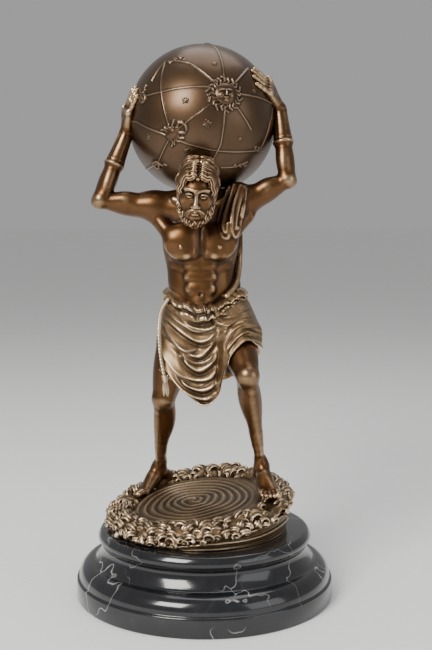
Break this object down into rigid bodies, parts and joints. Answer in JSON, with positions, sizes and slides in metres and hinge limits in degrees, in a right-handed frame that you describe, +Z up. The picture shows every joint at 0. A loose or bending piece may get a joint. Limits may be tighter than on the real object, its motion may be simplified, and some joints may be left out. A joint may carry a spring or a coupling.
{
  "type": "atlas statue",
  "caption": "Bronze-look statue of a bearded striding man in a draped cloth who carries a celestial globe on his back, on a swirling sea base and a round turned marble socle.",
  "frame": {"origin": "centre of the socle's underside", "axes": "+Z up, the figure faces -Y, its right hand is on the -X side"},
  "size_m": [0.2108, 0.212, 0.452],
  "materials": {
    "black_marble": "polished near-black marble with fine white veins",
    "brown_bronze": "glossy brown patina, rubbed to golden tan on raised places",
    "dark_bronze": "smooth dark grey-brown patina, its relief rubbed pale"
  },
  "bodies": {
    "root": {"marble_socle": "black_marble", "bronze_figure_on_sea_base": "brown_bronze", "celestial_globe": "dark_bronze"}
  },
  "joints": []
}
